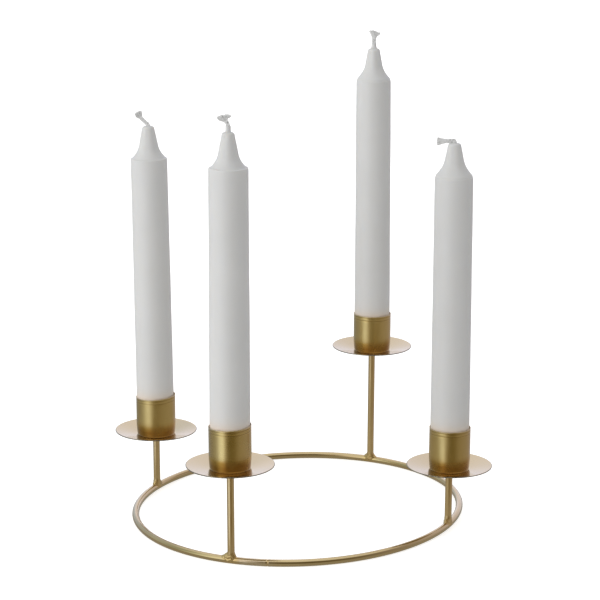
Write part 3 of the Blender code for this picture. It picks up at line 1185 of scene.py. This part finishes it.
@dataclass
class Candle(TurnedPart):
    """A crown candle: a straight body, a shoulder with a ledge, and a hollow-sided cone."""

    lip: float  # the height of the cup's lip above the candle's foot
    draft: Pair = (0.14, 0.28)  # the thinning at the shoulder, thickening at the lip
    painted_bounce_height: float = 3.2  # how far above the lip the painted bounce light from the brass cup reaches
    cone: float = 19.7  # the height of the cone and its dome
    dome: float = 1.7  # the height of the dome
    ledge: float = 10.45  # the most that the cone's foot may measure out from the axis
    bevel_height: float = 1.6  # the height of the slightly tapered band under the ledge
    bevel_depth: float = 0.16  # how far that band leans in
    edge: float = 0.2  # the radius of the ledge's outer edge
    foot: float = 0.7  # the size of the bevel at the foot
    taper: float = 0.195  # how much of its radius the cone loses per millimetre
    wave: float = 0.05  # how far the body strays from a true cylinder
    kind: ClassVar[str] = "crown_candle_"
    steps: ClassVar[int] = 112
    foot_rows: ClassVar[Pair] = (4.0, 8.0)  # the radii of the rows under the foot
    body_rows: ClassVar[int] = 96
    band_row: ClassVar[Pair] = (0.03, 0.5)  # how far the band's last row lies outwards and down
    cone_rows: ClassVar[int] = 34
    cone_start: ClassVar[float] = 0.3  # how far above the ledge the first of them lies
    collar_curve: ClassVar[float] = 0.6  # how soon the climbing wax narrows
    collar_cap: ClassVar[Pair] = (0.7, 0.15)  # its last row's share of the radius, and its rise
    # Where hand work sets in, and the height over which it grows
    flats_low: ClassVar[Pair] = (1.5, 3.0)  # the cone's flats, up from the ledge
    flats_high: ClassVar[Pair] = (0.6, 1.5)  # the same, down from the top
    stray_low: ClassVar[Pair] = (2.0, 10.0)  # the body's stray, down from the shoulder
    girth_low: ClassVar[Pair] = (1.0, 6.0)  # the candle's own girth, down from the top
    wave_heights: ClassVar[Pair] = (17.0, 7.0)  # how slowly the body's two waves turn

    @property
    def shoulder(self) -> float:
        """The height of the ledge that the cone stands on."""
        return self.axis.length - self.cone

    def cone_radius(self, height: float) -> float:
        """Return the cone's radius at a height above the shoulder."""
        tip = TIPS[self.place]
        return tip.girth - self.taper * height + max(0.0, tip.flare[0] - tip.flare[1] * height) ** 2

    def outline(self) -> Outline:
        """Return the candle's outline, from the pole of its foot to the end of its collar."""
        tip, shoulder, top = TIPS[self.place], self.shoulder, self.axis.length
        radius, base = self.axis.radius - self.draft[0], self.axis.radius + self.draft[1]
        band, inset = shoulder - self.bevel_height, radius - self.bevel_depth
        points = [(row, 0.0) for row in self.foot_rows]
        points += round_corner((base - self.foot, self.foot), self.foot, -90.0, 0.0, 5)
        points += stretch((base, self.foot), (base, self.lip), 6)
        for level in np.linspace(self.lip, band, self.body_rows)[:-1]:
            share = (level - self.lip) / (band - self.lip)
            # Painted bounce light from the brass cup, fading up from the lip.
            painted_bounce = math.exp(-(level - self.lip) / self.painted_bounce_height)
            points.append((base + (radius - base) * share, float(level), painted_bounce))
        points += [(radius, band), (inset + self.band_row[0], shoulder - self.band_row[1])]
        points += round_corner((inset - self.edge, shoulder - self.edge), self.edge, 0.0, 90.0, 4)
        points += [(min(self.cone_radius(height), self.ledge), shoulder + height)
                   for height in np.linspace(self.cone_start, self.cone - self.dome,
                                             self.cone_rows)]
        reach = self.cone_radius(self.cone - self.dome) - tip.collar_foot
        for angle in (math.radians(90.0 * share) for share in shares(8)):
            points.append((tip.collar_foot + reach * math.cos(angle),
                           top - self.dome * (1.0 - math.sin(angle))))
        narrowing = tip.collar_top - tip.collar_foot
        points += [(tip.collar_foot + narrowing * share ** self.collar_curve,
                    top + tip.collar * share) for share in shares(8)]
        cap, rise = self.collar_cap
        return points + [(tip.collar_top * cap, top + tip.collar + rise)]

    def shaped(self, points: np.ndarray) -> np.ndarray:
        """Cut faint flats on the cone and let the body stray a little.

        Args:
            points: the points of the even candle.

        Returns:
            The points of the real one.
        """
        tip, top, shoulder, height = TIPS[self.place], self.axis.length, self.shoulder, points[:, 2]
        angle = np.arctan2(points[:, 1], points[:, 0]) + math.radians(tip.turn)
        on_cone = fade(height - shoulder, *self.flats_low) * fade(top - height, *self.flats_high)
        flat = 1.0 - on_cone * tip.flatness * (1.0 - np.abs(np.cos(angle * tip.facets / 2.0)))
        body, bulk = fade(shoulder - height, *self.stray_low), fade(top - height, *self.girth_low)
        slow, quick = (height / wave for wave in self.wave_heights)
        stray = self.wave * np.sin(slow + tip.turn) * np.sin(2.0 * angle)
        stray += 0.5 * self.wave * np.sin(quick + 3.0 * angle)
        radius = np.maximum(np.hypot(points[:, 0], points[:, 1]), 1e-6)
        scale = (flat + body * stray / radius) * (1.0 + (FITS[self.place].girth - 1.0) * bulk)
        return points * np.stack([scale, scale, np.ones(len(scale))], axis=1)


@dataclass(frozen=True)
class WickShape:
    """How one wick leaves its candle and frays."""

    rise: float  # how far it goes straight up before it bends
    bend_radius: float
    bend: float  # in degrees, to the right when positive
    tail: float  # the length beyond the bend
    splay: float  # how far the outer strands part at the end
    splay_length: float  # the length over which they part
    sway: float  # how far the loose end swings to the right
    fibres: int  # how many loose fibres show at the end
    spread: float  # how far those fibres stray
    closing: float  # how far their ends draw together again
    girth: float  # how thick it is beside an even wick
    seed: int  # the seed of their strays


WICKS = {
    Place.RIGHT: WickShape(0.4, 0.8, -92.0, 9.2, 0.7, 6.5, 0.0, 110, 0.6, 0.0, 1.35, 11),
    Place.BACK: WickShape(6.0, 4.0, 4.0, 4.4, 1.9, 5.4, 0.3, 140, 0.9, 0.0, 1.45, 23),
    Place.LEFT: WickShape(0.2, 1.5, -50.0, 8.5, 1.0, 4.4, 1.8, 200, 1.7, 0.45, 1.25, 37),
    Place.FRONT: WickShape(3.0, 4.0, -34.0, 4.0, 1.7, 3.8, 0.7, 170, 1.5, 0.0, 1.2, 41),
}


@dataclass
class Wick:
    """A cotton wick: three twisted strands braided flat, frayed at the cut end."""

    place: Place
    axis: Spindle  # the spindle of its candle
    depth: float = 5.0  # how far it reaches down into the wax
    pitch: float = 5.6  # the length of one turn of the braid
    wide: float = 0.50  # how far a strand swings to the side
    thick: float = 0.26  # how far it swings to the front
    strand: float = 0.56  # the radius of a strand
    row: float = 0.22  # the distance between the rows of a strand
    path_steps: int = 14  # how many stretches the bend has
    strands: ClassVar[int] = 3  # how many strands are braided
    parting: ClassVar[float] = 0.45  # how much of the splay an outer strand takes
    twist: ClassVar[float] = 2600.0  # how fast a strand turns, in radians per metre
    lobes: ClassVar[int] = 7  # how many lobes a strand has
    lobe_hollow: ClassVar[float] = 0.8  # how far the hollows lie in between them
    fibre: ClassVar[float] = 0.2  # how thick a fibre is, as a share of a strand
    fibre_rows: ClassVar[int] = 9
    fibre_sides: ClassVar[int] = 5
    # The least and the most that a fibre strays to the side, to the front and along
    strays: ClassVar[tuple[Triple, Triple]] = ((-1.0, -1.0, -0.8), (1.0, 1.0, 0.45))
    parting_curve: ClassVar[float] = 1.6  # how late the strands part
    stray_curve: ClassVar[float] = 1.5  # how late the fibres stray
    closing_curve: ClassVar[float] = 3.0  # how late they draw together again
    bunch: ClassVar[float] = 1.3  # how far out the fibres start, as a share of a strand
    bunch_depth: ClassVar[float] = 0.6  # how much of that they reach to the front
    fall_back: ClassVar[float] = 0.15  # how much shorter the outer fibres end

    def path(self) -> list[Vector]:
        """Return the points down the middle of the wick, round the candle's own axis."""
        shape, top = WICKS[self.place], self.axis.length
        bend = math.radians(shape.bend)
        points = [Vector((0.0, 0.0, top - self.depth)), Vector((0.0, 0.0, top - self.depth / 2.0))]
        for share in (0.0, *shares(self.path_steps)):
            turn = abs(bend) * share
            side = math.copysign(shape.bend_radius * (1.0 - math.cos(turn)), bend)
            height = top + shape.rise + shape.bend_radius * math.sin(turn)
            points.append(Vector((side, 0.0, height)))
        heading = Vector((math.sin(bend), 0.0, math.cos(bend)))
        sideways = Vector((math.cos(bend), 0.0, -math.sin(bend)))
        return points + [
            points[-1] + heading * shape.tail * share + sideways * shape.sway * share ** 3
            for share in shares(8)]

    @classmethod
    def tree(cls) -> Shaping:
        """Build the geometry tree: braided strands along a curve, and loose fibres at its end."""
        graph = Shaping("braided_wick", Vector=("Front",), Int=("Fibres", "Seed"), Float=(
            "Pitch", "Wide", "Thick", "Strand", "Row", "Splay", "Splay Length", "Spread",
            "Closing"))
        put = graph.put
        path = graph.add("GeometryNodeResampleCurve", {
            "Curve": put["Geometry"], "Length": put["Row"]}, mode="LENGTH")
        run = graph.add("GeometryNodeSplineParameter")["Length"]
        whole = graph.add("GeometryNodeSplineLength")["Length"]
        heading = graph.add("GeometryNodeInputTangent")
        side = graph.vector("NORMALIZE", graph.vector("CROSS_PRODUCT", put["Front"], heading))
        loose = graph.remap(whole - run, put["Splay Length"], 0.0) ** cls.parting_curve
        held = 1.0 - loose
        turn = run / put["Pitch"] * FULL_TURN
        section = graph.add("GeometryNodeCurveStar", {
            "Points": cls.lobes, "Outer Radius": put["Strand"],
            "Inner Radius": put["Strand"] * cls.lobe_hollow})
        parts = [cls._fibres(graph, side, heading)]
        for number in reversed(range(cls.strands)):
            phase = turn + FULL_TURN * number / cls.strands
            across = (graph.math("SINE", phase) * put["Wide"] * held
                      + put["Splay"] * (cls.parting * (number - 1)) * loose)
            deep = graph.math("SINE", phase * 2.0) * put["Thick"] * held
            line = graph.moved(path, side * across + put["Front"] * deep)
            turned = graph.add("GeometryNodeSetCurveTilt", {"Curve": line, "Tilt": run * cls.twist})
            parts.append(graph.swept(turned, section))
        joined = graph.add("GeometryNodeJoinGeometry")
        for part in parts:
            graph.feed(joined.socket.node.inputs[0], part)
        return graph.finish(joined)

    @classmethod
    def _fibres(cls, graph: Shaping, side: Value, heading: Value) -> Value:
        """Lay loose fibres along the last stretch of the wick, straying more towards the end.

        Args:
            graph: the tree that they grow in.
            side: the direction to the side of the wick.
            heading: the direction along it.

        Returns:
            The fibres.
        """
        put = graph.put
        whole = graph.add("GeometryNodeSplineLength")["Length"]
        ends = graph.add("GeometryNodeTrimCurve", (
            put["Geometry"], True, whole - put["Splay Length"], whole), mode="LENGTH")
        even = graph.add("GeometryNodeResampleCurve", {
            "Curve": ends, "Count": cls.fibre_rows}, mode="COUNT")
        many = graph.add("GeometryNodeDuplicateElements", {
            "Geometry": even, "Amount": put["Fibres"]}, domain="SPLINE")
        share = graph.add("GeometryNodeSplineParameter")["Factor"]
        x, y, z = graph.add("FunctionNodeRandomValue", {
            "Min": cls.strays[0], "Max": cls.strays[1], "ID": many["Duplicate Index"],
            "Seed": put["Seed"]}, data_type="FLOAT_VECTOR").xyz()
        start, reach = put["Strand"] * cls.bunch, put["Splay"] + put["Spread"]
        growth, closed = share ** cls.stray_curve, share ** cls.closing_curve * put["Closing"]
        across = x * (1.0 - closed) * (start + reach * growth)
        deep = y * (start * cls.bunch_depth + put["Spread"] * growth)
        further = (z * put["Spread"] - x * x * reach * cls.fall_back) * growth
        offset = side * across + put["Front"] * deep + heading * further
        section = graph.circle(cls.fibre_sides, put["Strand"] * cls.fibre)
        return graph.swept(graph.moved(many, offset), section)

    def build(self, material: Material, tree: Shaping) -> Object:
        """Make the wick.

        Args:
            material: the cotton.
            tree: the braiding tree.

        Returns:
            The finished piece.
        """
        shape, place = WICKS[self.place], self.axis.matrix()
        curve = bpy.data.curves.new("wick_path", "CURVE")
        curve.dimensions = "3D"
        spline = curve.splines.new("POLY")
        points = [place @ point * MM for point in self.path()]
        spline.points.add(len(points) - 1)
        for target, point in zip(spline.points, points):
            target.co = (*point, 1.0)
        lengths = {"Pitch": self.pitch, "Wide": self.wide * shape.girth,
                   "Thick": self.thick * shape.girth, "Strand": self.strand * shape.girth,
                   "Row": self.row, "Splay": shape.splay, "Splay Length": shape.splay_length,
                   "Spread": shape.spread}
        front = -(place.to_3x3() @ Vector((0.0, 1.0, 0.0)))
        mesh = tree.run(place_object("wick_path", curve), material, lengths, Front=tuple(front),
                        Fibres=shape.fibres, Closing=shape.closing, Seed=shape.seed)
        bpy.data.curves.remove(curve)
        return place_object("braided_wick_" + self.place.value, mesh)


@dataclass(frozen=True)
class Viewpoint:
    """Where the photograph was taken from."""

    eye: Triple = (535.75, -1228.1, 454.6)  # the place of the lens, in millimetres
    yaw: float = -23.514  # the bearing of the view, in degrees from +Y towards +X
    pitch: float = 13.58  # how far it looks down
    roll: float = -0.25  # how far it leans
    focal_pixels: float = 2307.0  # the focal length, in pixels of the photograph
    sensor: float = 36.0
    reach: float = 60.0  # how far the camera sees, in metres

    def axes(self) -> tuple[Vector, Vector, Vector]:
        """Return the directions to the right, up and forward of the view."""
        yaw, pitch, roll = (math.radians(angle) for angle in (self.yaw, self.pitch, self.roll))
        ahead = Vector((math.sin(yaw) * math.cos(pitch), math.cos(yaw) * math.cos(pitch),
                        -math.sin(pitch)))
        level = Vector((math.cos(yaw), -math.sin(yaw), 0.0))
        upright = level.cross(ahead)
        right = math.cos(roll) * level + math.sin(roll) * upright
        up = -math.sin(roll) * level + math.cos(roll) * upright
        return right, up, ahead

    def build(self) -> None:
        """Make the camera and give it to the scene."""
        data = bpy.data.cameras.new("view")
        data.sensor_fit = "HORIZONTAL"
        data.sensor_width = self.sensor
        data.lens = self.focal_pixels * self.sensor / PHOTO_WIDTH
        data.clip_end = self.reach
        camera = place_object("view", data)
        right, up, ahead = self.axes()
        camera.matrix_world = (Matrix.Translation(Vector(self.eye) * MM)
                               @ Matrix((right, up, -ahead)).transposed().to_4x4())
        bpy.context.scene.camera = camera


def studio_point(bearing: float, distance: float, height: float) -> Vector:
    """Return a point of the studio, by its bearing in degrees to the right of the camera."""
    angle = math.atan2(*Viewpoint().eye[1::-1]) + math.radians(bearing)
    return Vector((distance * math.cos(angle), distance * math.sin(angle), height))


@dataclass(frozen=True)
class SoftBox:
    """A soft studio light that faces the ring. Its lengths are in metres."""

    name: str
    bearing: float  # in degrees to the right of the camera, seen from the ring
    height: float  # the height of its middle
    distance: float
    size: Pair  # its width and height
    power: float  # in watts
    aim: ClassVar[float] = 0.1  # the height of what it faces

    def build(self) -> None:
        """Make the light."""
        data = bpy.data.lights.new(self.name, "AREA")
        data.shape = "RECTANGLE"
        data.size, data.size_y = self.size
        data.energy = self.power
        light = place_object(self.name, data)
        light.visible_glossy = False
        light.location = studio_point(self.bearing, self.distance, self.height)
        aim = Vector((0.0, 0.0, self.aim)) - light.location
        light.rotation_euler = aim.to_track_quat("-Z", "Y").to_euler()


def disc(name: str, radius: float, height: float, material: Material) -> Object:
    """Lay a flat round sheet over the middle of the table.

    Args:
        name: the object's name.
        radius: its radius, in metres.
        height: how high it lies, in metres.
        material: its material.

    Returns:
        The new object.
    """
    count = 96
    angles = [FULL_TURN * step / count for step in range(count)]
    points = [(radius * math.cos(angle), radius * math.sin(angle), height) for angle in angles]
    mesh = bpy.data.meshes.new(name)
    mesh.from_pydata(points, [], [tuple(range(count))])
    mesh.materials.append(material)
    return place_object(name, mesh)


def show_in_reflections_only(card: Object) -> None:
    """Make a card part of the studio that neither the camera nor the soft light meets."""
    card.visible_camera = card.visible_diffuse = False
    card.visible_shadow = card.visible_transmission = False


@dataclass(frozen=True)
class Tone:
    """How bright the surround is in one direction."""

    bearing: float  # in degrees to the right of the camera
    below: Colour  # what lies below the horizon there
    above: Colour  # what stands above it


@dataclass(frozen=True)
class Drum:
    """A drum of card round the table that only reflections show, to shape the shine of the metal.

    Its lengths are in metres.
    """

    radius: float
    depth: float  # how far it reaches below the table
    horizon: float  # half the height of the soft change at the horizon
    shade: float  # the height up to which the room's tones stand
    top: float  # the height at which they have faded into the open room
    open_room: Colour  # the colour that they fade into
    floor: Colour  # the colour straight below the ring
    columns: int  # how many columns go round
    tones: tuple[Tone, ...]  # by rising bearing. The first follows the last

    def colours(self, bearing: float) -> list[np.ndarray]:
        """Return the colours below and above the horizon at a bearing from -180 to 180."""
        marks = [tone.bearing for tone in self.tones]
        tables = (np.array([getattr(tone, side) for tone in self.tones])
                  for side in ("below", "above"))
        return [np.array([np.interp(bearing, marks, column, period=360.0) for column in table.T])
                for table in tables]

    def build(self) -> None:
        """Make the drum."""
        levels = (-self.depth, -self.horizon, self.horizon, self.shade, self.top)
        rows = len(levels)
        points, glows, faces = [], [], []
        for column in range(self.columns):
            bearing = 360.0 * column / self.columns - 180.0
            below, above = self.colours(bearing)
            for level, glow in zip(levels, (below, below, above, above, self.open_room)):
                points.append(tuple(studio_point(bearing, self.radius, level)))
                glows.append((*glow, 1.0))
            here, after = column * rows, (column + 1) % self.columns * rows
            faces += [(here + row, here + row + 1, after + row + 1, after + row)
                      for row in range(rows - 1)]
            faces.append((self.columns * rows, here, after))
        points.append((0.0, 0.0, -self.depth))
        glows.append((*self.floor, 1.0))
        mesh = bpy.data.meshes.new("drum")
        mesh.from_pydata(points, [], faces)
        layer = mesh.attributes.new("glow", "FLOAT_COLOR", "POINT")
        layer.data.foreach_set("color", np.array(glows).ravel())
        card = Surface("drum_card")
        mesh.materials.append(card.glow(card.attribute("glow", "Color")))
        show_in_reflections_only(place_object("drum", mesh))


@dataclass(frozen=True)
class Studio:
    """The pale table, the soft lights and the surround of the ring. Its lengths are in metres."""

    table_radius: float = 14.0
    table_colour: Colour = (0.93, 0.93, 0.93)
    table_lift: float = 0.72  # how much brighter the camera sees the table than it is lit
    table_drop: float = 0.0001  # how far the table lies below the ring
    surround: Colour = (0.435, 0.434, 0.43)  # how brightly the room lights the pieces
    shine: Colour = (0.90, 0.94, 1.04)  # how bright the room is in reflections
    boxes: tuple[SoftBox, ...] = (
        SoftBox("key_box", -63.0, 0.8, 2.4, (2.0, 1.6), 25.0),
        SoftBox("top_box", 70.0, 2.4, 0.25, (1.0, 1.0), 5.0),
        SoftBox("back_box", 170.0, 0.9, 2.4, (1.2, 1.2), 9.0),
    )
    drum: Drum = Drum(
        3.0, 1.6, 0.05, 2.5, 4.4, (0.90, 0.94, 1.04), (0.50, 0.45, 0.36), 120,
        (
            Tone(-180.0, (0.58, 0.57, 0.66), (0.90, 0.89, 1.02)),
            Tone(-171.0, (0.56, 0.56, 0.64), (0.90, 0.89, 1.02)),
            Tone(-160.0, (0.36, 0.41, 0.47), (0.58, 0.66, 0.80)),
            Tone(-140.0, (0.29, 0.32, 0.36), (0.48, 0.55, 0.64)),
            Tone(-120.0, (0.28, 0.28, 0.31), (0.52, 0.58, 0.64)),
            Tone(-85.0, (0.33, 0.34, 0.36), (0.40, 0.47, 0.46)),
            Tone(-66.0, (0.52, 0.56, 0.65), (0.86, 0.96, 0.96)),
            Tone(-52.0, (1.04, 1.18, 1.47), (1.15, 1.24, 1.30)),
            Tone(-36.0, (1.09, 1.22, 1.50), (0.98, 0.97, 1.04)),
            Tone(-20.0, (0.34, 0.30, 0.23), (0.26, 0.24, 0.21)),
            Tone(-7.0, (0.15, 0.125, 0.06), (0.15, 0.125, 0.07)),
            Tone(22.0, (0.18, 0.147, 0.068), (0.17, 0.14, 0.08)),
            Tone(50.0, (0.33, 0.30, 0.25), (0.22, 0.19, 0.14)),
            Tone(120.0, (0.37, 0.34, 0.36), (0.58, 0.55, 0.65)),
            Tone(160.0, (0.50, 0.48, 0.56), (0.84, 0.83, 0.97)),
        ))
    mat_radius: float = 0.14  # the radius of a card on the table inside and under the ring
    mat_glow: Colour = (0.36, 0.35, 0.32)  # how bright it is. Only reflections show it

    def build(self) -> None:
        """Make the studio."""
        scene = bpy.context.scene
        scene.view_settings.view_transform = "Standard"
        scene.world = self.room()
        table = disc("table", self.table_radius, -self.table_drop, self.table_paint())
        table.visible_glossy = False
        glow = Surface("glow_card").glow((*self.mat_glow, 1.0))
        show_in_reflections_only(disc("mat", self.mat_radius, -self.table_drop / 2.0, glow))
        for box in self.boxes:
            box.build()
        self.drum.build()

    def room(self) -> bpy.types.World:
        """Return the world: an even light, brighter in reflections and white to the camera."""
        world = bpy.data.worlds.new("room")
        world.use_nodes = True
        graph = Graph(world.node_tree)
        rays = graph.add("ShaderNodeLightPath")
        colour = graph.mix(rays["Is Glossy Ray"], self.surround, self.shine)
        colour = graph.mix(rays["Is Camera Ray"], colour, (1.0, 1.0, 1.0))
        graph.feed(world.node_tree.nodes["Background"].inputs["Color"], colour)
        return world

    def table_paint(self) -> Material:
        """Return the table's matt paint, lifted towards white where the camera sees it."""
        paint = Surface("table_paint")
        seen = paint.add("ShaderNodeLightPath")["Is Camera Ray"]
        return paint.dress({
            "Base Color": (*self.table_colour, 1.0), "Roughness": 0.9, "Specular IOR Level": 0.0,
            "Emission Color": paint.mix(seen, (0.0,) * 3, (self.table_lift,) * 3),
            "Emission Strength": 1.0})


def main() -> None:
    """Build the finished pieces in order, and the studio round them."""
    logging.basicConfig(level=logging.INFO, format="%(name)s: %(message)s")
    Viewpoint().build()
    Studio().build()
    effects = Effects()
    wire, post_brass, pan_brass, wax, cotton = (finish.material(effects) for finish in (
        WIRE_FINISH, POST_FINISH, PAN_FINISH, WAX_FINISH, COTTON_FINISH))
    ring, lumps, braid = WireRing(), Post.lumps_tree(), Wick.tree()
    feet = []
    for place in Place:
        name, fit = place.value, FITS[place]
        pan_axis, cup_axis, candle_axis = (
            Spindle.of_node(node + name) for node in ("drip_pan_", "cup_", "candle_"))
        post = Post(place, ring, pan_axis, fit.low)
        feet.append(post.foot)
        hand_over(post.build(post_brass, lumps), "post_" + name)
        hand_over(DripPan(place, pan_axis, fit.low).build(pan_brass), "drip_pan_" + name)
        cup = Cup(place, cup_axis)
        satin = tuple(value + fit.satin for value in CUP_FINISH.roughness)
        cup_brass = replace(CUP_FINISH, name="brass_cup_" + name, roughness=satin)
        hand_over(cup.build(cup_brass.material(effects)), "cup_" + name)
        lip = cup_axis.foot.z + cup.height - candle_axis.foot.z
        hand_over(Candle(place, candle_axis, lip).build(wax), "candle_" + name)
        hand_over(Wick(place, candle_axis).build(cotton, braid), "wick_" + name)
    hand_over(ring.build(wire, feet), "ring")


if __name__ == "__main__":
    main()
